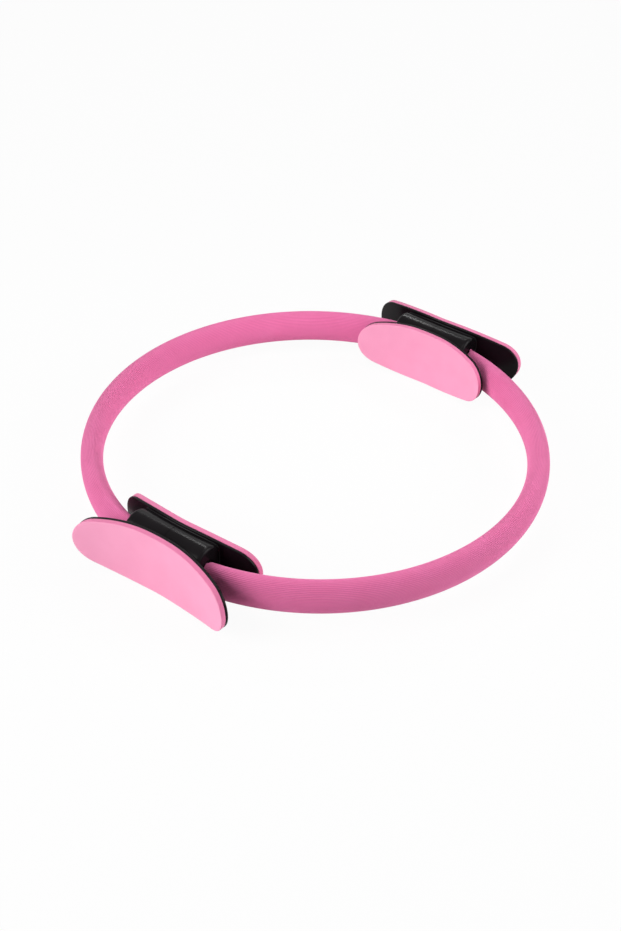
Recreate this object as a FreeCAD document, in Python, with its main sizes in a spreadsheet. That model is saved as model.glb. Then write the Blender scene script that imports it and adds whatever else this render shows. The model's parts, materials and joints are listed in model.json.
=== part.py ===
"""Pilates ring: a foam-covered fibreglass hoop with two padded handles.

The hoop lies flat, its handles on the X axis and its front half towards -Y.  Each half of the hoop
is cut into five arcs that meet in upright knuckles, so that rigid arcs can follow the bending of the
real, unbroken hoop.  Lengths are in millimetres and angles in degrees.
"""
import FreeCAD, Part
import math
import os
import re
import Sketcher
from FreeCAD import Placement, Rotation, Vector

SIZES = [
    ("hoop_radius", 172.0, "centre line of the hoop"),
    ("sleeve_width", 17.0, "foam sleeve across the ring's plane"),
    ("sleeve_height", 27.6, "foam sleeve along Z"),
    ("strip_thickness", 2.0, "one fibreglass strip across the ring's plane"),
    ("strip_height", 18.0, "fibreglass strip along Z"),
    ("strip_gap", 0.15, "room between two strips"),
    ("bore_clearance", 0.3, "room round the strips in sleeve and shells"),
    ("knuckle_margin", 1.05, "knuckle radius beyond half the sleeve's width"),
    ("knuckle_gap", 0.4, "running gap of a knuckle"),
    ("second_hinge_angle", 38.0, "second knuckle, from the handle's axis"),
    ("third_hinge_angle", 68.0, "third knuckle, from the handle's axis"),
    ("handle_inset", 4.9, "handle's middle inside the hoop's centre line"),
    ("saddle_half_length", 34.0, "half of the saddle along the hoop"),
    ("saddle_half_height", 25.0, "half of the saddle along Z"),
    ("saddle_half_width", 18.0, "half width of the saddle's oval"),
    ("saddle_end_radius", 2.6, "rounding of the saddle's ends"),
    ("saddle_root_radius", 1.0, "fillet from saddle to plate"),
    ("hinge_standoff", 8.0, "first knuckle's axis beyond the saddle's end"),
    ("mouth_depth", 2.2, "how far the saddle's mouth is sunk"),
    ("mouth_half_width", 9.9, "half width of the mouth"),
    ("mouth_half_height", 15.4, "half height of the mouth"),
    ("mouth_offset", 0.8, "mouth's middle outside the handle's middle"),
    ("mould_line_width", 0.5, "width of the mould line"),
    ("mould_line_depth", 0.35, "depth of the mould line"),
    ("mould_line_half_span", 6.0, "half length of the mould line across the crown"),
    ("plate_face_offset", 10.7, "plate's padded face from the handle's middle"),
    ("plate_thickness", 2.2, "flared plate"),
    ("plate_edge_radius", 0.8, "rounding of the plate's rim"),
    ("outer_bend_radius", 185.0, "bend of the outer plate"),
    ("outer_half_length", 69.6, "half length of the outer plate"),
    ("outer_half_height", 25.8, "half height of the outer plate"),
    ("outer_end_radius", 19.9, "end arc of the outer plate's outline"),
    ("inner_bend_radius", 168.0, "bend of the inner plate"),
    ("inner_half_length", 61.2, "half length of the inner plate"),
    ("inner_half_height", 24.9, "half height of the inner plate"),
    ("inner_end_radius", 20.1, "end arc of the inner plate's outline"),
    ("flat_half_length", 8.0, "half of the outline's straight top and bottom"),
    ("pad_thickness", 4.2, "foam pad"),
    ("pad_rim", 0.3, "plate showing round the pad"),
    ("pad_edge_radius", 0.8, "rounding of the pad's front edge"),
    ("glue_line", 0.1, "glue between pad and plate"),
    ("pin_diameter", 3.0, "dowel pin through the strips"),
    ("pin_half_length", 5.6, "half length of a dowel pin"),
    ("pin_place", 12.0, "dowel pin from the handle's middle"),
    ("pin_clearance", 0.05, "radial room round a dowel pin"),
    ("screw_place", 22.0, "screw from the handle's middle, along the hoop"),
    ("screw_rise", 14.5, "screw from the hoop's mid plane, along Z"),
    ("screw_diameter", 2.9, "screw shank"),
    ("screw_reach", 6.0, "screw point beyond the parting plane"),
    ("screw_seat", 5.2, "screw head's seat from the parting plane"),
    ("screw_head_diameter", 5.6, "pan head"),
    ("screw_head_height", 2.0, "pan head"),
    ("screw_head_radius", 0.9, "rounding of the pan head"),
    ("screw_clearance", 0.05, "radial room round the shank"),
    ("head_clearance", 0.3, "radial room round the head"),
    ("drive_width", 0.9, "arm of the cross recess"),
    ("drive_length", 3.2, "span of the cross recess"),
    ("drive_depth", 1.1, "depth of the cross recess"),
    ("overrun", 5.0, "how far a cutting shape runs past what it cuts"),
]

DERIVED = {
    "half_sleeve": "sleeve_width / 2",
    "knuckle_radius": "half_sleeve + knuckle_margin",
    "first_hinge_reach": "saddle_half_length + hinge_standoff",
    "first_hinge": "asin(first_hinge_reach / hoop_radius)",
    "second_hinge": "second_hinge_angle * 1 deg",
    "third_hinge": "third_hinge_angle * 1 deg",
    "lead_angle": "atan(2 * knuckle_radius / hoop_radius)",
    "handle_place": "hoop_radius - handle_inset",
    "strip_pitch": "strip_thickness + strip_gap",
    "bore_half_width": "strip_thickness / 2 + strip_pitch + bore_clearance",
    "bore_half_height": "strip_height / 2 + bore_clearance",
    "strip_end": "first_hinge_reach - knuckle_radius",
    "tool_half_height": "outer_half_height + overrun",
}

ALIASES = {alias for alias, _, _ in SIZES}
STRIP_LAYERS = (-1, 0, 1)
SCREW_CORNERS = [(y_sign, z_sign) for y_sign in (1, -1) for z_sign in (1, -1)]
HALVES = ("front", "back")
MIDDLE_ARC = 3
EDGE_SAMPLE_SHARES = (0.1, 0.5, 0.9)
SEAM_SLACK_SHARE = 0.001
UPRIGHT = Rotation(Vector(1, 1, 1), 240)
FACING_FRONT = Rotation(Vector(1, 0, 0), 90)
ALONG_X = Rotation(Vector(0, 1, 0), 90)
ACROSS_X = Rotation(Vector(1, 1, 1), 120)
HALF_TURN = Rotation(Vector(0, 0, 1), 180)
FLIP = Rotation(Vector(1, 0, 0), 180)

doc = FreeCAD.newDocument("pilates_ring")
sheet = doc.addObject("Spreadsheet::Sheet", "sizes")
sub_parts = []


def fill_sheet():
    """Write every driving size into the sheet, one aliased row each."""
    for row, (alias, size, note) in enumerate(SIZES, start=1):
        sheet.set(f"A{row}", alias)
        sheet.set(f"B{row}", str(size))
        sheet.setAlias(f"B{row}", alias)
        sheet.set(f"C{row}", note)
    doc.recompute()


def expand(text):
    """Turn a formula in plain size names into one that reads the sheet."""
    def swap(match):
        word = match.group(0)
        if word in DERIVED:
            return f"({expand(DERIVED[word])})"
        return f"sizes.{word}" if word in ALIASES else word
    return re.sub(r"[a-z_]+", swap, text)


def value(text):
    """Work out a formula in plain size names as a number."""
    result = sheet.evalExpression(expand(text))
    return float(getattr(result, "Value", result))


def bind(thing, **formulas):
    """Bind properties of an object to formulas; x, y and z stand for its place, turn for its angle."""
    short = {"x": "Placement.Base.x", "y": "Placement.Base.y", "z": "Placement.Base.z",
             "turn": "Placement.Rotation.Angle"}
    for name, formula in formulas.items():
        thing.setExpression(short.get(name, name), expand(formula))
    return thing


def add(kind, name, rotation=None, **formulas):
    """Add an object of one kind and bind its sizes."""
    thing = doc.addObject(kind, name)
    if rotation:
        thing.Placement = Placement(Vector(), rotation)
    return bind(thing, **formulas)


def cut(name, base, tools):
    """Cut one or more tools out of a base."""
    result = doc.addObject("Part::Cut", name)
    result.Base = base
    result.Tool = tools[0] if len(tools) == 1 else fuse(name + "_tools", tools)
    return result


def fuse(name, shapes):
    """Join shapes, dropping the edges between faces that run on."""
    result = doc.addObject("Part::MultiFuse", name)
    result.Shapes = shapes
    result.Refine = True
    return result


def common(name, shapes):
    """Keep what all the shapes share."""
    result = doc.addObject("Part::MultiCommon", name)
    result.Shapes = shapes
    return result


def extrude(name, source, direction, length):
    """Extrude a closed outline both ways along a direction."""
    result = doc.addObject("Part::Extrusion", name)
    result.Base = source
    result.DirMode = "Custom"
    result.Dir = direction
    result.Solid = True
    result.Symmetric = True
    return bind(result, LengthFwd=length)


def revolve(name, source, angle):
    """Turn a closed outline about the Z axis."""
    result = doc.addObject("Part::Revolution", name)
    result.Source = source
    result.Axis = Vector(0, 0, 1)
    result.Solid = True
    return bind(result, Angle=angle)


def fillet(name, base, radius, wanted):
    """Round the edges of a base that a test picks out."""
    doc.recompute()
    result = doc.addObject("Part::Fillet", name)
    result.Base = base
    size = value(radius)
    edges = base.Shape.Edges
    result.Edges = [(i, size, size) for i, edge in enumerate(edges, start=1) if wanted(edge)]
    return result


def finish(thing, name, position, rotation=Rotation()):
    """Give a sub-part its name and its place."""
    thing.Label = name
    thing.Placement = Placement(position, rotation)
    sub_parts.append(thing)


def upright_cylinder(name, radius, **place):
    """Add a cylinder along Z that runs past the whole handle both ways."""
    return add("Part::Cylinder", name, Radius=radius, Height="2 * tool_half_height",
               z="-tool_half_height", **place)


def knuckle_tool(name, angle, ahead):
    """Make the tool that leaves a round knuckle about a hinge, ahead of it or behind it."""
    reach = "(half_sleeve + overrun)"
    depth = "(hoop_radius * sin(lead_angle) + overrun)"
    side = "0" if ahead else f"-{depth}"
    block = add("Part::Box", name + "_block", HALF_TURN, turn=angle, Length=f"2 * {reach}", Width=depth,
                Height="2 * tool_half_height", z="-tool_half_height",
                x=f"(hoop_radius - {reach}) * cos({angle}) - {side} * sin({angle})",
                y=f"(hoop_radius - {reach}) * sin({angle}) + {side} * cos({angle})")
    return cut(name + "_beyond", block, [hinge_cylinder(name, "knuckle_radius - knuckle_gap", angle)])


def hinge_cylinder(name, radius, angle):
    """Add an upright cylinder about a hinge on the hoop's centre line."""
    return upright_cylinder(name + "_round", radius, x=f"hoop_radius * cos({angle})",
                            y=f"hoop_radius * sin({angle})")


def upright_face(name, middle, width, height):
    """Add a rectangle that stands in the XZ plane, about a middle on the X axis."""
    return add("Part::Plane", name, FACING_FRONT, Length=width, Width=height,
               x=f"{middle} - ({width}) / 2", z=f"-({height}) / 2")


def hoop_arc(half, number, start, end):
    """Build the foam sleeve and the three strips of one arc of the hoop.

    Arcs 1 to 3 lead from one handle to the middle of the half; arcs 5 and 4 are arcs 1 and 2 turned
    half round.  An arc starts in a knuckle and ends in a socket, but the middle one ends in a knuckle.
    """
    name = f"{half}_{number}"
    middle = number == MIDDLE_ARC
    last_hinge = f"(lead_angle + {end} - {start})"
    sweep = f"{last_hinge} + lead_angle" if middle else last_hinge
    tools = [knuckle_tool(name + "_start", "lead_angle", False)]
    if middle:
        tools.append(knuckle_tool(name + "_end", last_hinge, True))
    else:
        tools.append(hinge_cylinder(name + "_socket", "knuckle_radius", last_hinge))
    oval = add("Part::Ellipse", name + "_oval", UPRIGHT, MajorRadius="sleeve_height / 2",
               MinorRadius="half_sleeve", x="hoop_radius")
    bore = upright_face(name + "_bore_face", "hoop_radius", "2 * bore_half_width", "2 * bore_half_height")
    tube = revolve(name + "_tube", oval, sweep)
    sleeve = cut(name + "_sleeve", tube, [revolve(name + "_bore", bore, sweep)] + tools)
    layers = []
    for layer in STRIP_LAYERS:
        face = upright_face(f"{name}_strip_face_{layer + 1}", f"hoop_radius + {layer} * strip_pitch",
                            "strip_thickness", "strip_height")
        layers.append(revolve(f"{name}_strip_{layer + 1}", face, sweep))
    strips = cut(name + "_strips", fuse(name + "_layers", layers), tools)
    turn = Rotation(Vector(0, 0, 1), 180 + value(start) - value("lead_angle"))
    if (half == "back") != (number > MIDDLE_ARC):
        turn = FLIP.multiply(turn)
    if number > MIDDLE_ARC:
        turn = HALF_TURN.multiply(turn)
    rise = Vector(0, 0, value("outer_half_height"))
    finish(sleeve, f"{half}_sleeve_{number}", rise, turn)
    finish(strips, f"{half}_strips_{number}", rise, turn)


def hoop():
    """Build both halves of the hoop, arc by arc from the left handle to the right one."""
    hinges = ["first_hinge", "second_hinge", "third_hinge", "(180 deg - third_hinge)"]
    spans = list(zip(hinges, hinges[1:]))
    for half in HALVES:
        for number, span in enumerate(spans + spans[-2::-1], start=1):
            hoop_arc(half, number, *span)


def plate_outline(name, half_length, half_height, end_radius):
    """Sketch a plate's outline in the YZ plane: straight top and bottom, shoulder arcs, end arcs."""
    length, height, flat, end = (value(text) for text in (half_length, half_height,
                                                          "flat_half_length", end_radius))
    run = length - flat
    shoulder = (run ** 2 + height ** 2 - 2 * run * end) / (2 * (height - end))
    lean = math.atan2(run - end, shoulder - height)
    sketch = doc.addObject("Sketcher::SketchObject", name)
    sketch.Placement = Placement(Vector(), ACROSS_X)
    up = Vector(0, 0, 1)
    right = math.pi / 2
    lines = []
    for sign in (1, -1):
        start = Vector(-sign * flat, sign * height)
        lines.append(Part.LineSegment(start, Vector(sign * flat, sign * height)))
    arcs = []
    for angle, x_sign, z_sign in ((right - lean, 1, 1), (right, -1, 1),
                                  (-right, 1, -1), (-right - lean, -1, -1)):
        circle = Part.Circle(Vector(x_sign * flat, z_sign * (height - shoulder)), up, shoulder)
        arcs.append(Part.ArcOfCircle(circle, angle, angle + lean))
    tips = []
    for sign in (1, -1):
        circle = Part.Circle(Vector(sign * (length - end), 0), up, end)
        middle = 0 if sign > 0 else math.pi
        tips.append(Part.ArcOfCircle(circle, middle - right + lean, middle + right - lean))
    sketch.addGeometry(lines + arcs + tips, False)
    first, last, centre = 1, 2, 3
    top, bottom, right_top, left_top, right_bottom, left_bottom, right_tip, left_tip = range(8)
    joints = ((top, last, right_top, last), (right_top, first, right_tip, last),
              (right_tip, first, right_bottom, last), (right_bottom, first, bottom, first),
              (bottom, last, left_bottom, last), (left_bottom, first, left_tip, last),
              (left_tip, first, left_top, last), (left_top, first, top, first))
    for joint in joints:
        sketch.addConstraint(Sketcher.Constraint("Tangent", *joint))
    across, along = -1, -2
    sketch.addConstraint(Sketcher.Constraint("Symmetric", top, first, top, last, along))
    sketch.addConstraint(Sketcher.Constraint("Symmetric", bottom, first, bottom, last, along))
    sketch.addConstraint(Sketcher.Constraint("Symmetric", top, last, bottom, first, across))
    sketch.addConstraint(Sketcher.Constraint("PointOnObject", right_tip, centre, across))
    sketch.addConstraint(Sketcher.Constraint("Symmetric", right_tip, centre, left_tip, centre, along))
    sketch.addConstraint(Sketcher.Constraint("Equal", right_tip, left_tip))
    tip_place = f"{half_length} - ({end_radius})"
    sizes = (("DistanceX", (across, first, top, last), flat, "flat_half_length"),
             ("DistanceY", (across, first, top, last), height, half_height),
             ("DistanceX", (across, first, right_tip, centre), length - end, tip_place),
             ("Radius", (right_tip,), end, end_radius))
    for kind, points, number, formula in sizes:
        index = sketch.addConstraint(Sketcher.Constraint(kind, *points, number))
        sketch.setExpression(f"Constraints[{index}]", expand(formula))
    return sketch


def bent_sheet(name, bend, near, far, inset):
    """Build a sheet bent about an upright axis and trimmed to the plate's outline.

    near and far are its two faces, from the plate's padded face towards the handle's middle.
    """
    role = bend.split("_")[0]
    centre = f"plate_face_offset + {bend}"
    band = cut(name + "_band", upright_cylinder(name + "_far", f"{bend} + {far}", x=centre),
               [upright_cylinder(name + "_near", f"{bend} + {near}", x=centre)])
    outline = plate_outline(name + "_outline", f"({role}_half_length - {inset})",
                            f"({role}_half_height - {inset})", f"({role}_end_radius - {inset})")
    return common(name + "_sheet", [band, extrude(name + "_prism", outline, Vector(1, 0, 0),
                                                  f"2 * ({bend})")])


def oval_bar(name, half_width, half_height, half_length, **place):
    """Build a bar of oval section along the Y axis."""
    oval = add("Part::Ellipse", name + "_oval", UPRIGHT, MajorRadius=half_height, MinorRadius=half_width,
               **place)
    return extrude(name + "_bar", oval, Vector(0, 1, 0), f"2 * ({half_length})")


def saddle(name, bend):
    """Build half of the oval block between the plates, up to the middle of its plate."""
    bar = oval_bar(name + "_saddle", "saddle_half_width", "saddle_half_height", "saddle_half_length")
    rounded = fillet(name + "_saddle_ends", bar, "saddle_end_radius", lambda edge: edge.Length > 0)
    half = add("Part::Box", name + "_half", Length="saddle_half_width + overrun",
               Width="2 * (saddle_half_length + overrun)", Height="2 * tool_half_height",
               y="-saddle_half_length - overrun", z="-tool_half_height")
    pad_side = upright_cylinder(name + "_pad_side", f"{bend} + plate_thickness / 2",
                                x=f"plate_face_offset + {bend}")
    return cut(name + "_half_saddle", common(name + "_saddle_side", [rounded, half]), [pad_side])


def saddle_cuts(name, outward):
    """Make the tools for the strip slot, the pin holes, the mouths and the mould line."""
    tools = [add("Part::Box", name + "_slot", Length="2 * bore_half_width",
                 Width="2 * (saddle_half_length + overrun)", Height="2 * bore_half_height",
                 x="-bore_half_width", y="-saddle_half_length - overrun", z="-bore_half_height")]
    for sign in (1, -1):
        side = "right" if sign > 0 else "left"
        tools.append(add("Part::Cylinder", f"{name}_pin_hole_{side}", ALONG_X,
                         Radius="pin_diameter / 2 + pin_clearance",
                         Height="pin_half_length + bore_clearance", y=f"{sign} * pin_place"))
        place = f"{sign} * (saddle_half_length - mouth_depth / 2 + overrun / 2)"
        tools.append(oval_bar(f"{name}_mouth_{side}", "mouth_half_width", "mouth_half_height",
                              "(mouth_depth + overrun) / 2", x=f"{outward} * mouth_offset", y=place))
    crown = oval_bar(name + "_crown", "saddle_half_width - mould_line_depth",
                     "saddle_half_height - mould_line_depth", "saddle_half_length")
    slab = add("Part::Box", name + "_mould_slab", Length="2 * mould_line_half_span",
               Width="mould_line_width", Height="2 * tool_half_height", x="-mould_line_half_span",
               y="-mould_line_width / 2", z="-tool_half_height")
    tools.append(cut(name + "_mould_line", slab, [crown]))
    return tools


def screw_cuts(name, outer):
    """Make the tools for the screw holes: counterbored in the outer shell, blind in the inner one."""
    tools = []
    for number, (y_sign, z_sign) in enumerate(SCREW_CORNERS, start=1):
        place = {"y": f"{y_sign} * screw_place", "z": f"{z_sign} * screw_rise"}
        depth = "screw_seat" if outer else "screw_reach + bore_clearance"
        tools.append(add("Part::Cylinder", f"{name}_shank_hole_{number}", ALONG_X,
                         Radius="screw_diameter / 2 + screw_clearance", Height=depth, **place))
        if outer:
            tools.append(add("Part::Cylinder", f"{name}_head_hole_{number}", ALONG_X,
                             Radius="screw_head_diameter / 2 + head_clearance", x="screw_seat",
                             Height="plate_face_offset + overrun", **place))
    return tools


def on_plate_back(edge, bend):
    """Tell whether an edge runs where the saddle meets the back of the plate."""
    centre = value(f"plate_face_offset + {bend}")
    back = value(f"{bend} + plate_thickness")
    length = value("saddle_half_length")
    width = value("saddle_half_width")
    height = value("saddle_half_height")
    slack = SEAM_SLACK_SHARE * value("plate_thickness")
    first, last = edge.ParameterRange
    for share in EDGE_SAMPLE_SHARES:
        point = edge.valueAt(first + share * (last - first))
        near_back = abs(math.hypot(point.x - centre, point.y) - back) < slack
        in_oval = math.hypot(point.x / width, point.z / height) <= 1 + SEAM_SLACK_SHARE
        if not (near_back and in_oval and abs(point.y) <= length + slack):
            return False
    return True


def shell(name, role):
    """Build one half shell of a handle: a flared plate with its half of the saddle."""
    bend = f"{role}_bend_radius"
    plate = bent_sheet(name + "_plate", bend, "0", "plate_thickness", "0")
    rounded = fillet(name + "_rim", plate, "plate_edge_radius", lambda edge: edge.Length > 0)
    joined = fuse(name + "_joined", [rounded, saddle(name, bend)])
    smooth = fillet(name + "_smooth", joined, "saddle_root_radius", lambda edge: on_plate_back(edge, bend))
    outward = 1 if role == "outer" else -1
    return cut(name + "_shell", smooth, saddle_cuts(name, outward) + screw_cuts(name, role == "outer"))


def pad(name, role):
    """Build one foam pad: a bent sheet with a soft front edge."""
    bend = f"{role}_bend_radius"
    sheet_pad = bent_sheet(name + "_pad", bend, "(-glue_line - pad_thickness)", "(-glue_line)", "pad_rim")
    centre = value(f"plate_face_offset + {bend}")
    middle = value(f"{bend} - glue_line - pad_thickness / 2")

    def in_front(edge):
        point = edge.valueAt(sum(edge.ParameterRange) / 2)
        return math.hypot(point.x - centre, point.y) < middle

    return fillet(name + "_soft_pad", sheet_pad, "pad_edge_radius", in_front)


def strip_ends(name):
    """Build the straight middle of the three strips, drilled for the dowel pins."""
    holes = [add("Part::Cylinder", f"{name}_strip_hole_{sign + 1}", ALONG_X,
                 Radius="pin_diameter / 2 + pin_clearance", Height="2 * (bore_half_width + overrun)",
                 x="-bore_half_width - overrun", y=f"{sign} * pin_place") for sign in (1, -1)]
    layers = [add("Part::Box", f"{name}_strip_layer_{layer + 1}", Length="strip_thickness",
                  Width="2 * strip_end", Height="strip_height", y="-strip_end", z="-strip_height / 2",
                  x=f"{layer} * strip_pitch - strip_thickness / 2") for layer in STRIP_LAYERS]
    return cut(name + "_strip_ends", fuse(name + "_strip_layers", layers), holes)


def pins(name):
    """Build the two dowel pins that hold the strips lengthwise."""
    return fuse(name + "_pins", [add("Part::Cylinder", f"{name}_pin_{sign + 1}", ALONG_X,
                                     Radius="pin_diameter / 2", Height="2 * pin_half_length",
                                     x="-pin_half_length", y=f"{sign} * pin_place") for sign in (1, -1)])


def screws(name):
    """Build the four screws that draw the two shells together."""
    group = []
    for number, (y_sign, z_sign) in enumerate(SCREW_CORNERS, start=1):
        place = {"y": f"{y_sign} * screw_place", "z": f"{z_sign} * screw_rise"}
        tag = f"{name}_screw_{number}"
        shank = add("Part::Cylinder", tag + "_shank", ALONG_X, Radius="screw_diameter / 2",
                    Height="screw_reach + screw_seat", x="-screw_reach", **place)
        head = add("Part::Cylinder", tag + "_head", ALONG_X, Radius="screw_head_diameter / 2",
                   Height="screw_head_height", x="screw_seat", **place)
        top = value("screw_seat + screw_head_height")
        pan = fillet(tag + "_pan", head, "screw_head_radius",
                     lambda edge: edge.Closed and edge.CenterOfMass.x > top - value("screw_head_radius"))
        arms = []
        for wide, tall in (("drive_width", "drive_length"), ("drive_length", "drive_width")):
            arms.append(add("Part::Box", f"{tag}_arm_{len(arms)}", Length="drive_depth + overrun",
                            Width=wide, Height=tall, x="screw_seat + screw_head_height - drive_depth",
                            y=f"{y_sign} * screw_place - {wide} / 2",
                            z=f"{z_sign} * screw_rise - {tall} / 2"))
        group.append(cut(tag, fuse(tag + "_blank", [shank, pan]), arms))
    return fuse(name + "_screws", group)


def handle(side):
    """Build one handle and set its pieces in place at the hoop's end."""
    sign = 1 if side == "right" else -1
    place = Vector(sign * value("handle_place"), 0, value("outer_half_height"))
    outwards = Rotation() if side == "right" else HALF_TURN
    inwards = outwards.multiply(HALF_TURN)
    for role, turn in (("outer", outwards), ("inner", inwards)):
        tag = f"{side}_{role}"
        finish(shell(tag, role), f"{tag}_shell", place, turn)
        finish(pad(tag, role), f"{tag}_pad", place, turn)
    finish(strip_ends(side), f"{side}_strip_ends", place, outwards)
    finish(pins(side), f"{side}_dowel_pins", place, outwards)
    finish(screws(side), f"{side}_screws", place, outwards)


def check():
    """Stop if any object failed or any sub-part has no sound shape."""
    for thing in doc.Objects:
        if {"Invalid", "Error"} & set(thing.State):
            raise RuntimeError(f"{thing.Name} failed: {thing.State}")
    for thing in sub_parts:
        if thing.Shape.isNull() or not thing.Shape.isValid() or not thing.Shape.Solids:
            raise RuntimeError(f"{thing.Label} has no sound shape")


def export():
    """Write each sub-part to its own file."""
    os.makedirs("parts", exist_ok=True)
    for thing in sub_parts:
        thing.Shape.exportStep(os.path.join("parts", thing.Label + ".step"))
        print(thing.Label, len(thing.Shape.Solids), round(thing.Shape.Volume, 1))


fill_sheet()
hoop()
for side in ("left", "right"):
    handle(side)
doc.recompute()
check()
export()
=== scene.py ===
"""Looks of a pilates ring: ribbed foam sleeves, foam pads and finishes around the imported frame.

Lengths are in metres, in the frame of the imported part: +Z up, the handles on the X axis, the front
half of the hoop towards -Y.
"""
import json
import logging
import math
from collections.abc import Callable, Iterable
from dataclasses import dataclass, field
from enum import Enum

import bpy
from mathutils import Matrix, Vector


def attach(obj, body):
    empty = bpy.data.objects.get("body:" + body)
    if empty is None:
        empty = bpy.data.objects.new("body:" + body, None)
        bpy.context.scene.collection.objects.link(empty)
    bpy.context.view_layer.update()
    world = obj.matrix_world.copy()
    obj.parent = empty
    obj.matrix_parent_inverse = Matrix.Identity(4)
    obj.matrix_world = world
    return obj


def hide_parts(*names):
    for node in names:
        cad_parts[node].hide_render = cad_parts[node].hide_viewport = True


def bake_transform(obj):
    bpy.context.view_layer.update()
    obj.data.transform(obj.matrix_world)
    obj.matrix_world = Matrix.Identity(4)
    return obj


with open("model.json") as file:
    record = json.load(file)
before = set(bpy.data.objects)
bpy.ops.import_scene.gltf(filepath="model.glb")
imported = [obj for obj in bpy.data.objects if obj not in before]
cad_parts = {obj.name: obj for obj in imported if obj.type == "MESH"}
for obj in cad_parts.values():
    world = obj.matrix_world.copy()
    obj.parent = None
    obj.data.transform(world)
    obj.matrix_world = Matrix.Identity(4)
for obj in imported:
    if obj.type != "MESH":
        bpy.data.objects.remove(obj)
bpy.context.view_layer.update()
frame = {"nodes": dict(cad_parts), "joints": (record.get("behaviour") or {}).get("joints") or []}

LOG = logging.getLogger("pilates_ring")
MM = 0.001
TOLERANCE = 0.01 * MM
MERGE_DISTANCE = 0.001 * MM
PHOTO_HEIGHT = 931

Colour = tuple[float, float, float]
Range = tuple[float, float]
Place = tuple[float, float]

WHITE = (1, 1, 1, 1)
UNIT: Range = (0, 1)
NOISE_RANGE: Range = (0.3, 0.7)

# Places of a colour mix's sockets among its node's inputs and outputs
MIX_SHARE, MIX_FIRST, MIX_SECOND, MIX_RESULT = 0, 6, 7, 2


class Half(Enum):
    """A half of the hoop, by the side of the X axis that it lies on."""

    FRONT = "front"
    BACK = "back"

    @property
    def sign(self) -> int:
        """Side of the X axis, as a sign."""
        return -1 if self is Half.FRONT else 1


class Side(Enum):
    """A handle, by its end of the X axis."""

    LEFT = "left"
    RIGHT = "right"

    @property
    def sign(self) -> int:
        """End of the X axis, as a sign."""
        return -1 if self is Side.LEFT else 1


class Role(Enum):
    """A face of a handle: away from the hoop's middle or towards it."""

    OUTER = "outer"
    INNER = "inner"

    @property
    def sign(self) -> int:
        """Direction of the face, away from the hoop's middle."""
        return 1 if self is Role.OUTER else -1


def srgb(red: int, green: int, blue: int) -> Colour:
    """Turn a colour as seen on a screen into a linear one.

    Args:
        red: Red, from 0 to 255.
        green: Green, from 0 to 255.
        blue: Blue, from 0 to 255.

    Returns:
        The linear colour.
    """
    def straight(level: int) -> float:
        """Straighten one channel."""
        share = level / 255
        return share / 12.92 if share <= 0.04045 else ((share + 0.055) / 1.055) ** 2.4

    return straight(red), straight(green), straight(blue)


def clamp(value: float) -> float:
    """Keep a value from 0 to 1."""
    return min(1, max(0, value))


class Graph:
    """A node tree that is being wired."""

    def __init__(self, tree: bpy.types.NodeTree) -> None:
        """Take over a tree and empty it."""
        self.tree = tree
        self.tree.nodes.clear()

    def add(self, kind: str, inputs: dict[str | int, object] | None = None,
            **settings: object) -> bpy.types.Node:
        """Add a node.

        Args:
            kind: Name of the node's type.
            inputs: Values, or sockets to link, by the name or number of the input.
            settings: Settings of the node itself.

        Returns:
            The new node.
        """
        node = self.tree.nodes.new(kind)
        for name, setting in settings.items():
            setattr(node, name, setting)
        for name, value in (inputs or {}).items():
            if isinstance(value, bpy.types.NodeSocket):
                self.tree.links.new(value, node.inputs[name])
            else:
                node.inputs[name].default_value = value
        return node

    def noise(self, place: bpy.types.NodeSocket, scale: bpy.types.NodeSocket,
              detail: float) -> bpy.types.NodeSocket:
        """Add a noise pattern.

        Args:
            place: Coordinates to read it at.
            scale: Lumps in each metre.
            detail: Layers of finer lumps.

        Returns:
            The pattern's value, from 0 to 1.
        """
        inputs = {"Vector": place, "Scale": scale, "Detail": detail}
        return self.add("ShaderNodeTexNoise", inputs).outputs[0]

    def spread(self, value: bpy.types.NodeSocket, low: Range, high: Range) -> bpy.types.NodeSocket:
        """Map a value from one range to another.

        Args:
            value: The value.
            low: Its range.
            high: The range to map it to.

        Returns:
            The mapped value.
        """
        inputs = {"Value": value, "From Min": low[0], "From Max": low[1],
                  "To Min": high[0], "To Max": high[1]}
        return self.add("ShaderNodeMapRange", inputs).outputs[0]

    def mix(self, share: object, first: object, second: object) -> bpy.types.NodeSocket:
        """Mix two colours.

        Args:
            share: Share of the second colour.
            first: A colour or a socket.
            second: A colour or a socket.

        Returns:
            The mixed colour.
        """
        node = self.add("ShaderNodeMix", data_type="RGBA")
        for number, value in ((MIX_SHARE, share), (MIX_FIRST, first), (MIX_SECOND, second)):
            if isinstance(value, bpy.types.NodeSocket):
                self.tree.links.new(value, node.inputs[number])
            else:
                node.inputs[number].default_value = (*value, 1) if isinstance(value, tuple) else value
        return node.outputs[MIX_RESULT]


def effect_group(name: str, inputs: dict[str, float],
                 outputs: Iterable[str]) -> tuple[Graph, bpy.types.Node]:
    """Start a shader node group of values.

    Args:
        name: Name of the group.
        inputs: Its inputs and their usual values.
        outputs: Names of its outputs.

    Returns:
        The group's graph and its input node.
    """
    tree = bpy.data.node_groups.new(name, "ShaderNodeTree")
    for label, usual in inputs.items():
        socket = tree.interface.new_socket(label, in_out="INPUT", socket_type="NodeSocketFloat")
        socket.default_value = usual
    for label in outputs:
        tree.interface.new_socket(label, in_out="OUTPUT", socket_type="NodeSocketFloat")
    graph = Graph(tree)
    return graph, graph.add("NodeGroupInput")


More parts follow.
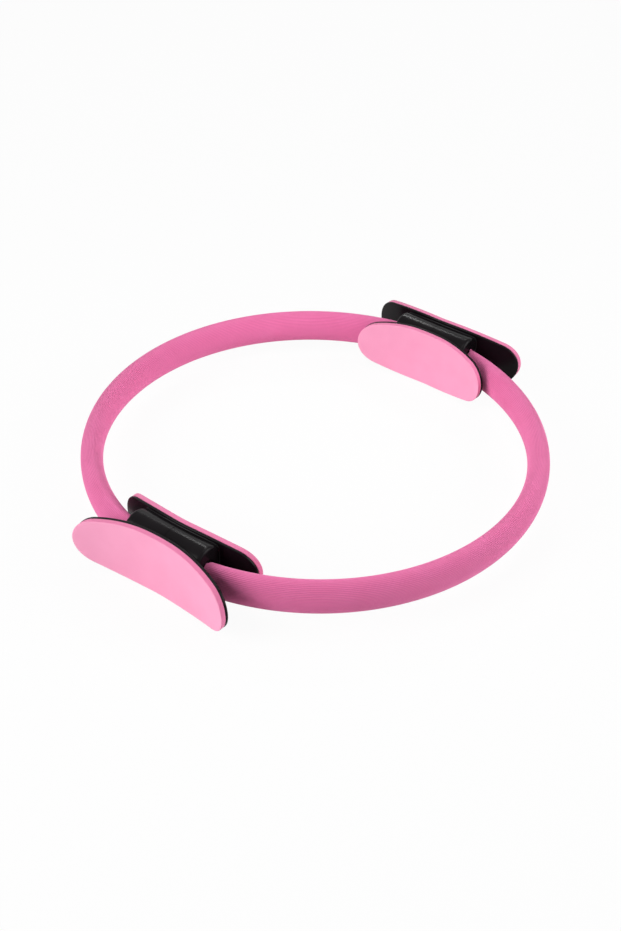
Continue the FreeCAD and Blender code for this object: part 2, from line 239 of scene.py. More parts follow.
def foam_pores() -> bpy.types.NodeTree:
    """Build the effect of closed-cell foam: a soft mottle, and fine pores.

    Returns:
        The node group.
    """
    usual = {"Mottle Scale": 60, "Pore Scale": 1800}
    pore_range = (0.1, 0.7)
    graph, given = effect_group("foam_pores", usual, ("Mottle", "Pores"))
    place = graph.add("ShaderNodeTexCoord").outputs["Object"]
    mottle = graph.spread(graph.noise(place, given.outputs["Mottle Scale"], detail=4), NOISE_RANGE, UNIT)
    cells = graph.add("ShaderNodeTexVoronoi", {"Vector": place, "Scale": given.outputs["Pore Scale"]})
    pores = graph.spread(cells.outputs["Distance"], pore_range, UNIT)
    graph.add("NodeGroupOutput", {"Mottle": mottle, "Pores": pores})
    return graph.tree


def moulded_grain() -> bpy.types.NodeTree:
    """Build the effect of a mould's surface: a fine spark grain, and a slow change of gloss.

    Returns:
        The node group.
    """
    usual = {"Grain Scale": 2600, "Gloss Scale": 45}
    graph, given = effect_group("moulded_grain", usual, ("Grain", "Gloss"))
    place = graph.add("ShaderNodeTexCoord").outputs["Object"]
    grain = graph.noise(place, given.outputs["Grain Scale"], detail=3)
    gloss = graph.spread(graph.noise(place, given.outputs["Gloss Scale"], detail=5), NOISE_RANGE, UNIT)
    graph.add("NodeGroupOutput", {"Grain": grain, "Gloss": gloss})
    return graph.tree


def drawn_streaks() -> bpy.types.NodeTree:
    """Build the effect of fibres or drawing marks that run round the hoop at one height.

    Returns:
        The node group.
    """
    graph, given = effect_group("drawn_streaks", {"Streak Scale": 1500}, ("Streaks",))
    place = graph.add("ShaderNodeTexCoord").outputs["Object"]
    apart = graph.add("ShaderNodeSeparateXYZ", {0: place})
    flat = graph.add("ShaderNodeCombineXYZ", {"X": apart.outputs["X"], "Y": apart.outputs["Y"]})
    reach = graph.add("ShaderNodeVectorMath", {0: flat.outputs[0]}, operation="LENGTH")
    line = graph.add("ShaderNodeCombineXYZ", {"X": reach.outputs["Value"], "Z": apart.outputs["Z"]})
    streaks = graph.noise(line.outputs[0], given.outputs["Streak Scale"], detail=4)
    graph.add("NodeGroupOutput", {"Streaks": graph.spread(streaks, NOISE_RANGE, UNIT)})
    return graph.tree


EFFECTS: dict[str, bpy.types.NodeTree] = {}


@dataclass(frozen=True)
class Finish:
    """What every finish has: a name, and a shader whose plain values are set once.

    Attributes:
        name: Name of the material.
        roughness: Range of roughness over the surface.
    """

    name: str
    roughness: Range

    def begin(self) -> tuple[Graph, bpy.types.Node]:
        """Start the material.

        Returns:
            Its graph and its shader.
        """
        material = bpy.data.materials.new(self.name)
        material.use_nodes = True
        graph = Graph(material.node_tree)
        shader = graph.add("ShaderNodeBsdfPrincipled")
        graph.add("ShaderNodeOutputMaterial", {"Surface": shader.outputs[0]})
        return graph, shader

    def effect(self, graph: Graph, name: str, **inputs: float) -> bpy.types.Node:
        """Place a shared effect in a material.

        Args:
            graph: The material's graph.
            name: Name of the effect.
            inputs: Its inputs, with _ for a space.

        Returns:
            The group's node.
        """
        node = graph.add("ShaderNodeGroup", node_tree=EFFECTS[name])
        for label, value in inputs.items():
            node.inputs[label.replace("_", " ")].default_value = value
        return node

    def bump(self, graph: Graph, shader: bpy.types.Node, height: bpy.types.NodeSocket, depth: float,
             strength: float) -> None:
        """Raise the surface a little.

        Args:
            graph: The material's graph.
            shader: The shader to raise.
            height: Pattern, from 0 to 1.
            depth: How deep it is.
            strength: How strongly it shows.
        """
        inputs = {"Height": height, "Distance": depth, "Strength": strength}
        graph.tree.links.new(graph.add("ShaderNodeBump", inputs).outputs[0], shader.inputs["Normal"])

    def finished(self) -> bpy.types.Material:
        """Get the material, built at its first use."""
        return bpy.data.materials.get(self.name) or self.build()

    def build(self) -> bpy.types.Material:
        """Build the material."""
        raise NotImplementedError


@dataclass(frozen=True)
class Foam(Finish):
    """Closed-cell foam: matte, mottled, with a second colour where a mask is low.

    Attributes:
        light: Colour at the mottle's light places.
        deep: Colour at its deep places.
        shaded: Painted shade colour where the mask is 0: shade in a sleeve's grooves, and on a pad's cut
            sides shade together with the cut foam's own deeper pink.
        mask: Name of the mask, a value at each point, that is low where shade is painted.
        pores: Pores in each metre.
        sheen: Weight of the soft sheen.
        sheen_roughness: Roughness of the sheen.
        specular: Level of the plain gloss.
        pore_depth: Depth of the pores.
        pore_strength: How strongly the pores show.
    """

    light: Colour
    deep: Colour
    shaded: Colour
    mask: str
    pores: float
    sheen: float
    sheen_roughness: float = 0.6
    specular: float = 0.25
    pore_depth: float = 0.12 * MM
    pore_strength: float = 0.5

    def build(self) -> bpy.types.Material:
        """Build the material.

        Returns:
            The material.
        """
        graph, shader = self.begin()
        shader.inputs["Specular IOR Level"].default_value = self.specular
        shader.inputs["Sheen Weight"].default_value = self.sheen
        shader.inputs["Sheen Roughness"].default_value = self.sheen_roughness
        foam = self.effect(graph, "foam_pores", Pore_Scale=self.pores)
        mottle, pores = foam.outputs["Mottle"], foam.outputs["Pores"]
        # Painted shade: where the mask falls to 0, the shaded colour takes the place of the mottled foam
        # colour.
        mask = graph.add("ShaderNodeAttribute", attribute_name=self.mask).outputs["Fac"]
        colour = graph.mix(mask, self.shaded, graph.mix(mottle, self.deep, self.light))
        links = graph.tree.links
        links.new(colour, shader.inputs["Base Color"])
        links.new(graph.spread(mottle, UNIT, self.roughness), shader.inputs["Roughness"])
        self.bump(graph, shader, pores, self.pore_depth, self.pore_strength)
        return bpy.data.materials[self.name]


@dataclass(frozen=True)
class Plastic(Finish):
    """Moulded plastic with a satin grain.

    Attributes:
        colour: Colour of the plastic.
        scuffed: Colour at its slightly duller places.
        specular: Level of the plain gloss.
        grain_depth: Depth of the grain.
        grain_strength: How strongly the grain shows.
    """

    colour: Colour
    scuffed: Colour
    specular: float = 0.08
    grain_depth: float = 0.02 * MM
    grain_strength: float = 0.3

    def build(self) -> bpy.types.Material:
        """Build the material.

        Returns:
            The material.
        """
        graph, shader = self.begin()
        shader.inputs["Specular IOR Level"].default_value = self.specular
        mould = self.effect(graph, "moulded_grain")
        links = graph.tree.links
        gloss = mould.outputs["Gloss"]
        links.new(graph.mix(gloss, self.colour, self.scuffed), shader.inputs["Base Color"])
        links.new(graph.spread(gloss, UNIT, self.roughness), shader.inputs["Roughness"])
        self.bump(graph, shader, mould.outputs["Grain"], self.grain_depth, self.grain_strength)
        return bpy.data.materials[self.name]


@dataclass(frozen=True)
class Streaked(Finish):
    """Fibreglass or drawn steel, with fine streaks along it.

    Attributes:
        colour: Colour of the streaks' dark lines.
        bright: Colour of their bright lines.
        metal: Whether it is a metal.
        streak_depth: Depth of the streaks.
        streak_strength: How strongly the streaks show.
    """

    colour: Colour
    bright: Colour
    metal: bool
    streak_depth: float = 0.02 * MM
    streak_strength: float = 0.3

    def build(self) -> bpy.types.Material:
        """Build the material.

        Returns:
            The material.
        """
        graph, shader = self.begin()
        shader.inputs["Metallic"].default_value = float(self.metal)
        streaks = self.effect(graph, "drawn_streaks").outputs["Streaks"]
        links = graph.tree.links
        links.new(graph.mix(streaks, self.colour, self.bright), shader.inputs["Base Color"])
        links.new(graph.spread(streaks, UNIT, self.roughness), shader.inputs["Roughness"])
        self.bump(graph, shader, streaks, self.streak_depth, self.streak_strength)
        return bpy.data.materials[self.name]


# The sleeve's shaded colour is painted shade in the grooves between its ribs.
SLEEVE_FOAM = Foam("ribbed_sleeve_foam", (0.78, 0.9), light=srgb(242, 124, 180), deep=srgb(238, 117, 173),
                   shaded=srgb(211, 91, 147), mask="rib", pores=1500, sheen=0.25)
# The pad's shaded colour on its cut sides is painted shade together with the cut foam's own deeper pink.
PAD_FOAM = Foam("smooth_pad_foam", (0.75, 0.88), light=srgb(254, 168, 203), deep=srgb(251, 162, 198),
                shaded=srgb(238, 127, 173), mask="face", pores=1400, sheen=0.2)
HANDLE_PLASTIC = Plastic("satin_handle_plastic", (0.2, 0.27), srgb(14, 11, 13), srgb(20, 16, 19))
FIBREGLASS = Streaked("drawn_fibreglass", (0.35, 0.55), srgb(186, 190, 160), srgb(214, 214, 190),
                      metal=False)
PIN_STEEL = Streaked("ground_pin_steel", (0.25, 0.4), srgb(168, 168, 172), srgb(200, 200, 204),
                     metal=True)
SCREW_STEEL = Streaked("drawn_screw_steel", (0.3, 0.45), srgb(120, 118, 116), srgb(160, 158, 156),
                       metal=True)
HELD_PIECES = (("strip_ends", FIBREGLASS, "fibreglass"), ("dowel_pins", PIN_STEEL, "pin_steel"),
               ("screws", SCREW_STEEL, "screw_steel"))


def set_mode(piece: bpy.types.Object, mode: str) -> None:
    """Make a piece the only selected one, and change its mode.

    Args:
        piece: The piece.
        mode: Name of the mode.
    """
    if bpy.context.object and bpy.context.object.mode != "OBJECT":
        bpy.ops.object.mode_set(mode="OBJECT")
    bpy.ops.object.select_all(action="DESELECT")
    piece.select_set(True)
    bpy.context.view_layer.objects.active = piece
    bpy.ops.object.mode_set(mode=mode)


def select_points(piece: bpy.types.Object, test: Callable[[Vector], bool]) -> None:
    """Select the points of a piece that a test picks out, and go on in edit mode.

    Args:
        piece: The piece.
        test: Tells from a point's place whether it is wanted.
    """
    set_mode(piece, "EDIT")
    bpy.ops.mesh.select_mode(type="VERT")
    bpy.ops.mesh.select_all(action="DESELECT")
    bpy.ops.object.mode_set(mode="OBJECT")
    for point in piece.data.vertices:
        point.select = test(point.co)
    bpy.ops.object.mode_set(mode="EDIT")


def add_loop(name: str, places: list[Vector]) -> bpy.types.Object:
    """Add a closed loop of edges and shape it.

    Args:
        name: Name of the piece.
        places: Where its points go, in order.

    Returns:
        The piece.
    """
    bpy.ops.object.select_all(action="DESELECT")
    bpy.ops.mesh.primitive_circle_add(vertices=len(places), radius=1, fill_type="NOTHING")
    loop = bpy.context.object
    loop.name = loop.data.name = name
    for point, place in zip(loop.data.vertices, places):
        point.co = place
    return loop


def join(pieces: list[bpy.types.Object]) -> bpy.types.Object:
    """Join pieces into the first of them.

    Args:
        pieces: The pieces.

    Returns:
        The first one.
    """
    set_mode(pieces[0], "OBJECT")
    for piece in pieces:
        piece.select_set(True)
    bpy.ops.object.join()
    return pieces[0]


def close_up(piece: bpy.types.Object, smooth_angle: float) -> None:
    """Merge a piece's doubled points, turn its faces outwards and shade it.

    Args:
        piece: The piece.
        smooth_angle: Steepest edge that is shaded smooth, in degrees.
    """
    set_mode(piece, "EDIT")
    bpy.ops.mesh.select_all(action="SELECT")
    bpy.ops.mesh.remove_doubles(threshold=MERGE_DISTANCE)
    bpy.ops.mesh.normals_make_consistent(inside=False)
    bpy.ops.object.mode_set(mode="OBJECT")
    bpy.ops.object.shade_smooth_by_angle(angle=math.radians(smooth_angle))


def paint(piece: bpy.types.Object, name: str, level: Callable[[Vector], float]) -> None:
    """Give each point of a piece a value that its finish reads.

    Args:
        piece: The piece.
        name: Name of the value.
        level: Tells the value from a point's place.
    """
    layer = piece.data.attributes.new(name, "FLOAT", "POINT")
    layer.data.foreach_set("value", [level(point.co) for point in piece.data.vertices])


def dress(piece: bpy.types.Object, finish: Finish) -> None:
    """Give a piece its finish.

    Args:
        piece: The piece.
        finish: The finish.
    """
    piece.data.materials.clear()
    piece.data.materials.append(finish.finished())


@dataclass
class Hoop:
    """The hoop: foam sleeves and fibreglass strips, in pieces that each span one hinge.

    Attributes:
        radius: Centre line.
        rise: Height of the mid plane.
        hinges: Angles of the hinges from the left handle's axis, in radians.
        half_width: Half of the sleeve across the ring's plane.
        half_height: Half of the sleeve along Z.
        ribs: Ribs round the sleeve.
        rib_shape_shares: Depth of each point of a rib, as shares of the rib's depth.
        rib_depth: Depth of the grooves.
        mouth_reach: Distance from the X axis at which a sleeve ends in a handle's mouth.
        end_rounding: Rounding of a sleeve's end in its mouth.
        rounding_steps: Steps of that rounding.
        rim_share: How far out in the oval the end's rim lies, at least.
        bore: Half width and half height of the bore.
        strip: Thickness and height of a strip.
        strip_count: Strips side by side in a sleeve.
        strip_pitch: Distance from one strip to the next.
        strip_rounding: Rounding of a strip's long edges.
        step: Angle of one step round the hoop.
        sleeve_smooth: Steepest edge of a sleeve that is shaded smooth, in degrees.
        strip_smooth: The same for a strip.
    """

    radius: float
    rise: float
    hinges: list[float]
    half_width: float = 8.5 * MM
    half_height: float = 13.8 * MM
    ribs: int = 58
    rib_shape_shares: tuple[float, ...] = (1, 0.45, 0.05, 0, 0.05, 0.45)
    rib_depth: float = 0.32 * MM
    mouth_reach: float = 33.7 * MM
    end_rounding: float = 1.4 * MM
    rounding_steps: int = 4
    rim_share: float = 0.9
    bore: Range = (3.45 * MM, 9.3 * MM)
    strip: Range = (2.0 * MM, 18.0 * MM)
    strip_count: int = 3
    strip_pitch: float = 2.15 * MM
    strip_rounding: float = 0.3 * MM
    step: float = math.radians(1.0)
    sleeve_smooth: float = 55
    strip_smooth: float = 30

    @property
    def mouth(self) -> float:
        """Angle from a handle's axis at which the hoop enters its mouth."""
        return math.asin(self.mouth_reach / self.radius)

    @classmethod
    def from_frame(cls) -> "Hoop":
        """Read the hoop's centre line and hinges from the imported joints.

        Returns:
            The hoop.
        """
        places = {joint["child"]: Vector(joint["pos_m"]) for joint in frame["joints"]}
        last = places["right_handle"]
        front = [place for child, place in places.items() if child.startswith("front_arc")]
        hinges = sorted(math.atan2(-place.y, -place.x) for place in [*front, last])
        return cls(math.hypot(last.x, last.y), last.z, hinges)

    def place(self, half: Half, angle: float) -> Vector:
        """Find a point of the centre line.

        Args:
            half: Half of the hoop.
            angle: Angle from the left handle's axis.

        Returns:
            The point.
        """
        flat = Vector((-math.cos(angle), half.sign * math.sin(angle), 0)) * self.radius
        return flat + Vector((0, 0, self.rise))

    def in_section(self, across: float, up: float, bearing: float) -> Vector:
        """Find a point of a section through the hoop.

        Args:
            across: Distance outside the centre line.
            up: Height above the mid plane.
            bearing: Bearing of the section from the X axis, anticlockwise.

        Returns:
            The point.
        """
        reach = self.radius + across
        return Vector((reach * math.cos(bearing), reach * math.sin(bearing), self.rise + up))

    def rib_loop(self, bearing: float) -> list[Vector]:
        """Lay out the ribbed oval of the sleeve, with its ribs spaced evenly along it.

        Args:
            bearing: Bearing of the section.

        Returns:
            The oval's points.
        """
        wide, tall = self.half_width, self.half_height
        evening = (tall ** 2 - wide ** 2) / (4 * (tall ** 2 + wide ** 2))
        count = self.ribs * len(self.rib_shape_shares)
        points = []
        for index in range(count):
            turn = 2 * math.pi * index / count
            turn -= evening * math.sin(2 * turn)
            depth = self.rib_depth * self.rib_shape_shares[index % len(self.rib_shape_shares)]
            across, up = (wide - depth) * math.cos(turn), (tall - depth) * math.sin(turn)
            points.append(self.in_section(across, up, bearing))
        return points

    def box_loop(self, middle: float, half_width: float, half_height: float,
                 bearing: float) -> list[Vector]:
        """Lay out a rectangle with small cut corners.

        Args:
            middle: Distance of its middle outside the centre line.
            half_width: Half width.
            half_height: Half height.
            bearing: Bearing of the section.

        Returns:
            The rectangle's points.
        """
        trim = self.strip_rounding
        corners = ((1, -1), (1, 1), (-1, 1), (-1, -1))
        points = []
        for index, (side, top) in enumerate(corners):
            first = (side * half_width, top * (half_height - trim))
            second = (side * (half_width - trim), top * half_height)
            pair = (first, second) if index % 2 else (second, first)
            points += [self.in_section(middle + across, up, bearing) for across, up in pair]
        return points

    def sweep(self, piece: bpy.types.Object, span: Range) -> None:
        """Turn a piece's loops round the hoop.

        Args:
            piece: The piece, with its loops at the first bearing.
            span: First and last bearing.
        """
        turn = span[1] - span[0]
        set_mode(piece, "EDIT")
        bpy.ops.mesh.select_all(action="SELECT")
        steps = max(1, round(turn / self.step))
        bpy.ops.mesh.spin(steps=steps, angle=-turn, center=(0, 0, self.rise), axis=(0, 0, 1))
        bpy.ops.object.mode_set(mode="OBJECT")

    def section_share(self, point: Vector) -> float:
        """Tell how far out in the sleeve's oval a point lies, as a share."""
        across = math.hypot(point.x, point.y) - self.radius
        return math.hypot(across / self.half_width, (point.z - self.rise) / self.half_height)

    def at_bearing(self, point: Vector, bearing: float) -> bool:
        """Tell whether a point lies in the section at a bearing."""
        ahead = point.y * math.cos(bearing) - point.x * math.sin(bearing)
        forward = point.x * math.cos(bearing) + point.y * math.sin(bearing)
        return abs(ahead) < TOLERANCE and forward > 0

    def build_sleeve(self, name: str, span: Range, open_end: float | None) -> bpy.types.Object:
        """Model one piece of ribbed sleeve.

        Args:
            name: Name of the piece.
            span: First and last bearing.
            open_end: Bearing of the end that sits in a mouth, if it has one.

        Returns:
            The piece.
        """
        spare = [self.step if bearing == open_end else 0 for bearing in span]
        swept = (span[0] - spare[0], span[1] + spare[1])
        bore = add_loop(name + "_bore", self.box_loop(0, *self.bore, swept[0]))
        sleeve = join([add_loop(name, self.rib_loop(swept[0])), bore])
        self.sweep(sleeve, swept)
        for bearing in span:
            if bearing == open_end:
                self.cut_end(sleeve, bearing)
            else:
                select_points(sleeve, lambda point: self.at_bearing(point, bearing))
                bpy.ops.mesh.bridge_edge_loops()
        close_up(sleeve, self.sleeve_smooth)
        # The rib value runs from 0 deep in a groove to 1 on a rib's top; the finish paints shade where it
        # is low.
        deepest = 1 - self.rib_depth / self.half_width
        paint(sleeve, "rib", lambda point: clamp((self.section_share(point) - deepest) / (1 - deepest)))
        dress(sleeve, SLEEVE_FOAM)
        return sleeve

    def cut_end(self, sleeve: bpy.types.Object, bearing: float) -> None:
        """Cut a sleeve's end square to its handle, close it and round its rim.

        Args:
            sleeve: The sleeve, swept a little past its end.
            bearing: Bearing of the end.
        """
        forward = math.copysign(1, math.sin(bearing))
        set_mode(sleeve, "EDIT")
        bpy.ops.mesh.select_all(action="SELECT")
        plane = {"plane_co": (0, forward * self.mouth_reach, 0), "plane_no": (0, forward, 0)}
        bpy.ops.mesh.bisect(**plane, clear_inner=True)

        def on_cut(point: Vector) -> bool:
            """Tell whether a point lies in the cut."""
            return abs(forward * point.y - self.mouth_reach) < TOLERANCE and point.x * math.cos(bearing) > 0

        select_points(sleeve, on_cut)
        bpy.ops.mesh.bridge_edge_loops()
        select_points(sleeve, lambda point: on_cut(point) and self.section_share(point) > self.rim_share)
        bpy.ops.mesh.bevel(offset=self.end_rounding, segments=self.rounding_steps, affect="EDGES")

    def build_strips(self, name: str, span: Range) -> bpy.types.Object:
        """Model the strips inside one piece of sleeve.

        Args:
            name: Name of the piece.
            span: First and last bearing.

        Returns:
            The piece.
        """
        half_width, half_height = (size / 2 for size in self.strip)
        middle = (self.strip_count - 1) / 2
        offsets = [(layer - middle) * self.strip_pitch for layer in range(self.strip_count)]
        strips = join([add_loop(f"{name}_{layer}", self.box_loop(offset, half_width, half_height, span[0]))
                       for layer, offset in enumerate(offsets)])
        strips.name = strips.data.name = name
        self.sweep(strips, span)
        for bearing in span:
            for offset in offsets:
                reach = self.radius + offset
                select_points(strips, lambda point: self.at_bearing(point, bearing)
                              and abs(math.hypot(point.x, point.y) - reach) < self.strip_pitch / 2)
                bpy.ops.mesh.edge_face_add()
        close_up(strips, self.strip_smooth)
        dress(strips, FIBREGLASS)
        return strips

    def build(self, half: Half) -> None:
        """Model one half of the hoop, in pieces that each span one hinge.

        Args:
            half: The half.
        """
        middles = [(first + last) / 2 for first, last in zip(self.hinges, self.hinges[1:])]
        ends = [self.mouth, *middles[1:-1], math.pi - self.mouth]
        for number, (first, last) in enumerate(zip(ends, ends[1:]), start=1):
            bearings = [math.pi - half.sign * angle for angle in (first, last)]
            open_end = {1: bearings[0], len(ends) - 1: bearings[1]}.get(number)
            span = (min(bearings), max(bearings))
            arcs = (number, number + 1)
            start, end = (self.place(half, middles[arc - 1]) for arc in arcs)
            pieces = {"sleeve": self.build_sleeve(f"{half.value}_sleeve_bend_{number}", span, open_end),
                      "strips": self.build_strips(f"{half.value}_strips_bend_{number}", span)}
            for kind, piece in pieces.items():
                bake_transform(piece)
                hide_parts(*(f"{half.value}_{kind}_{arc}" for arc in arcs))
                LOG.info("%s: %d faces", piece.name, len(piece.data.polygons))


@dataclass
class PadOutline:
    """Outline of a pad: straight top and bottom, shoulder arcs and end arcs.

    Attributes:
        half_length: Half length.
        half_height: Half height.
        end_radius: Radius of the end arcs.
        flat: Half of the straight top and bottom.
    """

    half_length: float
    half_height: float
    end_radius: float
    flat: float = 8.0 * MM

    def inset(self, distance: float) -> "PadOutline":
        """Get the outline a distance further in."""
        return PadOutline(self.half_length - distance, self.half_height - distance,
                          self.end_radius - distance, self.flat)

    def quarter(self, counts: tuple[int, int, int]) -> list[Place]:
        """Lay out a quarter of the outline, from the middle of the top to the tip.

        Args:
            counts: Steps on the straight top, the shoulder arc and the end arc.

        Returns:
            Places along and up.
        """
        run = self.half_length - self.flat
        tall, end = self.half_height, self.end_radius
        shoulder = (run ** 2 + tall ** 2 - 2 * run * end) / (2 * (tall - end))
        lean = math.atan2(run - end, shoulder - tall)
        on_top, on_shoulder, on_end = counts
        points = [(self.flat * step / on_top, tall) for step in range(on_top)]
        for step in range(on_shoulder):
            turn = lean * step / on_shoulder
            points.append((self.flat + shoulder * math.sin(turn), tall - shoulder * (1 - math.cos(turn))))
        for step in range(on_end + 1):
            turn = lean + (math.pi / 2 - lean) * step / on_end
            points.append((self.half_length - end + end * math.sin(turn), end * math.cos(turn)))
        return points

    def ring(self, counts: tuple[int, int, int]) -> list[Place]:
        """Lay out the whole outline as a closed ring.

        Args:
            counts: Steps of a quarter.

        Returns:
            Places along and up, the last one the same as the first.
        """
        quarter = self.quarter(counts)
        half = quarter + [(along, -up) for along, up in quarter[-2::-1]]
        return half + [(-along, up) for along, up in half[-2::-1]]


@dataclass
class Handle:
    """A handle: two foam pads on black shells, with the pieces that the shells hold.

    Attributes:
        side: Which handle.
        inset: Handle's middle inside the hoop's centre line.
        face_offset: Padded face of a shell from the handle's middle.
        bends: Bend radius of each shell.
        outlines: Outline of each pad.
        thickness: Thickness of a pad.
        glue: Glue between pad and shell.
        edge_rounding: Rounding of a pad's front edge.
        back_rounding: Rounding of its back edge.
        crown: How much fuller a pad is in its middle.
        plateau_share: How far in the pad reaches its full thickness, as a share of its end radius.
        ring_shares: Rings from there out to the edge, as shares of that distance.
        core_shares: Rings from there to the pad's middle line, as shares of their height.
        rounding_steps: Steps of an edge's rounding.
        counts: Steps of a quarter of a pad's outline.
        smooth_angle: Steepest edge of a pad that is shaded smooth, in degrees.
    """

    side: Side
    inset: float = 4.9 * MM
    face_offset: float = 10.7 * MM
    bends: dict[Role, float] = field(default_factory=lambda: {Role.OUTER: 185 * MM, Role.INNER: 168 * MM})
    outlines: dict[Role, PadOutline] = field(default_factory=lambda: {
        Role.OUTER: PadOutline(69.3 * MM, 25.5 * MM, 19.6 * MM),
        Role.INNER: PadOutline(60.9 * MM, 24.6 * MM, 19.8 * MM)})
    thickness: float = 4.2 * MM
    glue: float = 0.1 * MM
    edge_rounding: float = 0.7 * MM
    back_rounding: float = 0.3 * MM
    crown: float = 0.15 * MM
    plateau_share: float = 0.8
    ring_shares: tuple[float, ...] = (1, 0.5, 0.2)
    core_shares: tuple[float, ...] = (0.5, 0)
    rounding_steps: int = 4
    counts: tuple[int, int, int] = (6, 26, 16)
    smooth_angle: float = 60

    def on_bend(self, hoop: Hoop, role: Role, along: float, up: float, lift: float) -> Vector:
        """Find a point over a shell's padded face.

        Args:
            hoop: The hoop.
            role: Which face of the handle.
            along: Distance along Y.
            up: Height above the mid plane.
            lift: Distance above the padded face.

        Returns:
            The point.
        """
        bend = self.bends[role]
        reach = self.face_offset + bend - math.sqrt((bend - lift) ** 2 - along ** 2)
        outward = self.side.sign * (hoop.radius - self.inset + role.sign * reach)
        return Vector((outward, along, hoop.rise + up))

    def pad_rings(self, role: Role) -> list[tuple[list[Place], float]]:
        """Lay out a pad as rings, from the middle of its back round its side to the middle of its front.

        Args:
            role: Which face of the handle.

        Returns:
            Each ring's places, along and up, and its lift off the shell.
        """
        outline = self.outlines[role]
        bottom, edge_top = self.glue, self.glue + self.thickness - self.crown
        deepest = self.plateau_share * outline.end_radius
        turns = [math.pi / 2 * step / self.rounding_steps for step in range(self.rounding_steps + 1)]
        rounding = [(1 - math.sin(turn), 1 - math.cos(turn)) for turn in turns]
        profile = [(deepest * share, bottom) for share in self.ring_shares]
        for inward, rise in rounding:
            profile.append((self.back_rounding * inward, bottom + self.back_rounding * rise))
        for drop, inward in rounding:
            profile.append((self.edge_rounding * inward, edge_top - self.edge_rounding * drop))
        for share in reversed(self.ring_shares):
            profile.append((deepest * share, edge_top + self.crown * math.sin(share * math.pi / 2)))
        rings = [(outline.inset(distance).ring(self.counts), lift) for distance, lift in profile]
        (back, back_lift), (front, front_lift) = rings[0], rings[-1]
        for share in self.core_shares:
            rings.insert(0, ([(along, up * share) for along, up in back], back_lift))
            rings.append(([(along, up * share) for along, up in front], front_lift))
        return rings

    def build_pad(self, hoop: Hoop, role: Role) -> bpy.types.Object:
        """Model one foam pad.

        Args:
            hoop: The hoop.
            role: Which face of the handle.

        Returns:
            The pad.
        """
        rings = self.pad_rings(role)
        around = len(rings[0][0])
        bpy.ops.object.select_all(action="DESELECT")
        bpy.ops.mesh.primitive_grid_add(x_subdivisions=around - 1, y_subdivisions=len(rings) - 1, size=1)
        pad = bpy.context.object
        pad.name = pad.data.name = f"{self.side.value}_{role.value}_foam_pad"
        places = [(along, up, lift) for ring, lift in rings for along, up in ring]
        for point, place in zip(pad.data.vertices, places):
            point.co = self.on_bend(hoop, role, *place)
        close_up(pad, self.smooth_angle)
        bend = self.bends[role]
        centre = self.side.sign * (hoop.radius - self.inset + role.sign * (self.face_offset + bend))
        front = bend - self.glue - self.thickness + self.crown

        def on_face(point: Vector) -> float:
            """Tell how near a point is to the pad's face, from 0 on its side to 1."""
            lift = front - math.hypot(point.x - centre, point.y)
            return clamp(1 + lift / self.edge_rounding)

        # The face value is 0 on a pad's cut side, where the finish paints shade together with the cut
        # foam's deeper pink.
        paint(pad, "face", on_face)
        dress(pad, PAD_FOAM)
        return pad

    def build(self, hoop: Hoop) -> None:
        """Model the pads, and dress the shells and what they hold.

        Args:
            hoop: The hoop.
        """
        body = f"{self.side.value}_handle"
        for role in Role:
            pad = self.build_pad(hoop, role)
            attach(pad, body)
            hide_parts(f"{self.side.value}_{role.value}_pad")
            LOG.info("%s: %d faces", pad.name, len(pad.data.polygons))
            dress(frame["nodes"][f"{self.side.value}_{role.value}_shell"], HANDLE_PLASTIC)
        for kind, finish, slot in HELD_PIECES:
            dress(frame["nodes"][f"{self.side.value}_{kind}"], finish)
            LOG.info("%s_%s dressed", self.side.value, kind)


@dataclass(frozen=True)
class Lamp:
    """A square soft light that points at the ring.

    Attributes:
        name: Name of the lamp.
        place: Where it stands.
        size: Length of its side.
        power: Power in watts.
    """

    name: str
    place: tuple[float, float, float]
    size: float
    power: float

    def build(self, target: Vector) -> None:
        """Add the lamp.

        Args:
            target: What it points at.
        """
        bpy.ops.object.light_add(type="AREA", location=self.place)
        lamp = bpy.context.object
        lamp.name = self.name
        lamp.data.shape = "SQUARE"
        lamp.data.size = self.size
        lamp.data.energy = self.power
        lamp.rotation_euler = (target - Vector(self.place)).to_track_quat("-Z", "Y").to_euler()


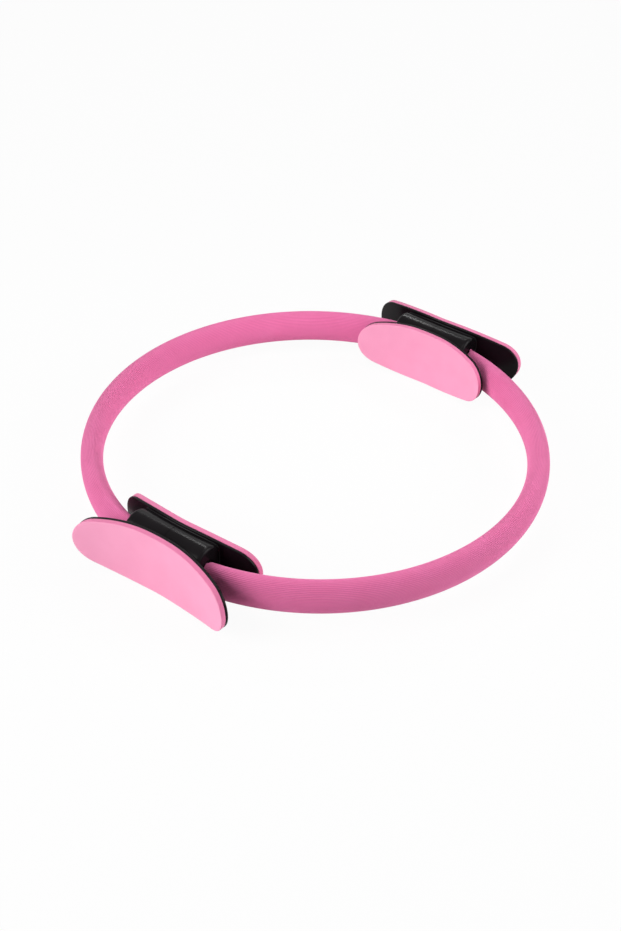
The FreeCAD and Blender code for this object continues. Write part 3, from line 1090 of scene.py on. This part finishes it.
@dataclass
class Studio:
    """Floor, lights and camera.

    Attributes:
        target: Middle of the hoop.
        azimuth: Bearing of the camera from -Y, in degrees.
        elevation: Height of the camera above the hoop's plane, in degrees.
        distance: Camera from the middle of the hoop.
        roll: Turn of the camera about its line of sight, in degrees.
        sensor: Longer side of the camera's sensor, in millimetres.
        near_clip: Nearest distance that the camera sees.
        focal_pixels: Focal length in pixels of the photograph.
        middle_pixels: Middle of the hoop from the middle of the photograph, right and up.
        lamps: The lights.
        floor_size: Side of the floor.
        paper_shade: Paleness of the floor's paper.
        floor_glow_share: How much of the floor that is seen is plain white.
        ambient: Strength of the light from all round.
    """

    target: Vector
    azimuth: float = -53.79
    elevation: float = 36.99
    distance: float = 1.0925
    roll: float = 1.3
    sensor: float = 36.0
    near_clip: float = 10 * MM
    focal_pixels: float = 1407.8
    middle_pixels: Range = (5.14, 21.58)
    lamps: tuple[Lamp, ...] = (
        Lamp("overhead_light", (0.03, -0.05, 0.36), 0.25, 0.4),
        Lamp("key_light", (-1.3, 0.65, 0.85), 1.0, 22),
        Lamp("fill_light", (0.7, -1.3, 0.65), 1.0, 17),
        Lamp("back_light", (1.1, 0.8, 1.1), 0.16, 4))
    floor_size: float = 12.0
    paper_shade: float = 0.9
    floor_glow_share: float = 0.95
    ambient: float = 0.06

    def build_camera(self) -> None:
        """Stand the camera where the photograph was taken."""
        turn, rise = math.radians(self.azimuth), math.radians(self.elevation)
        back = Vector((math.sin(turn) * math.cos(rise), -math.cos(turn) * math.cos(rise), math.sin(rise)))
        bpy.ops.object.camera_add()
        camera = bpy.context.object
        camera.name = "camera"
        roll = Matrix.Rotation(math.radians(self.roll), 3, "Z")
        aim = (-back).to_track_quat("-Z", "Y").to_matrix() @ roll
        camera.matrix_world = Matrix.Translation(self.target + back * self.distance) @ aim.to_4x4()
        camera.data.sensor_width = self.sensor
        camera.data.lens = self.focal_pixels * self.sensor / PHOTO_HEIGHT
        camera.data.shift_x = -self.middle_pixels[0] / PHOTO_HEIGHT
        camera.data.shift_y = -self.middle_pixels[1] / PHOTO_HEIGHT
        camera.data.clip_start = self.near_clip
        bpy.context.scene.camera = camera

    def seen_white(self, graph: Graph) -> bpy.types.NodeSocket:
        """Tell the rays that see the background directly, in a mirror or through glass.

        Args:
            graph: Graph of the material or world.

        Returns:
            1 for such rays, else 0.
        """
        path = graph.add("ShaderNodeLightPath").outputs
        shiny = {0: path["Is Glossy Ray"], 1: path["Is Transmission Ray"]}
        mirrored = graph.add("ShaderNodeMath", shiny, operation="ADD").outputs[0]
        seen = {0: path["Is Camera Ray"], 1: mirrored}
        return graph.add("ShaderNodeMath", seen, operation="ADD", use_clamp=True).outputs[0]

    def build_floor(self) -> None:
        """Lay a pale floor that keeps the ring's shadow."""
        bpy.ops.mesh.primitive_plane_add(size=self.floor_size)
        floor = bpy.context.object
        floor.name = "floor"
        material = bpy.data.materials.new("floor_paper")
        material.use_nodes = True
        graph = Graph(material.node_tree)
        shade = self.paper_shade
        paper = graph.add("ShaderNodeBsdfDiffuse", {"Color": (shade, shade, shade, 1)})
        glow = graph.add("ShaderNodeEmission", {"Color": WHITE, "Strength": 1.0})
        share = graph.spread(self.seen_white(graph), UNIT, (0, self.floor_glow_share))
        both = graph.add("ShaderNodeMixShader", {0: share, 1: paper.outputs[0], 2: glow.outputs[0]})
        graph.add("ShaderNodeOutputMaterial", {"Surface": both.outputs[0]})
        floor.data.materials.append(material)

    def build_world(self) -> None:
        """Surround the ring with even light and a white background."""
        world = bpy.data.worlds.new("studio")
        world.use_nodes = True
        bpy.context.scene.world = world
        graph = Graph(world.node_tree)
        strength = graph.spread(self.seen_white(graph), UNIT, (self.ambient, 1))
        sky = graph.add("ShaderNodeBackground", {"Color": WHITE, "Strength": strength})
        graph.add("ShaderNodeOutputWorld", {"Surface": sky.outputs[0]})

    def build(self) -> None:
        """Set up the whole studio."""
        bpy.context.scene.view_settings.view_transform = "Standard"
        self.build_camera()
        self.build_floor()
        self.build_world()
        for lamp in self.lamps:
            lamp.build(self.target)


def main() -> None:
    """Build the studio, the hoop and the handles, in that order."""
    logging.basicConfig(level=logging.INFO, format="%(message)s")
    EFFECTS.update(foam_pores=foam_pores(), moulded_grain=moulded_grain(), drawn_streaks=drawn_streaks())
    hoop = Hoop.from_frame()
    Studio(Vector((0, 0, hoop.rise))).build()
    for half in Half:
        hoop.build(half)
    for side in Side:
        Handle(side).build(hoop)


if __name__ == "__main__":
    main()
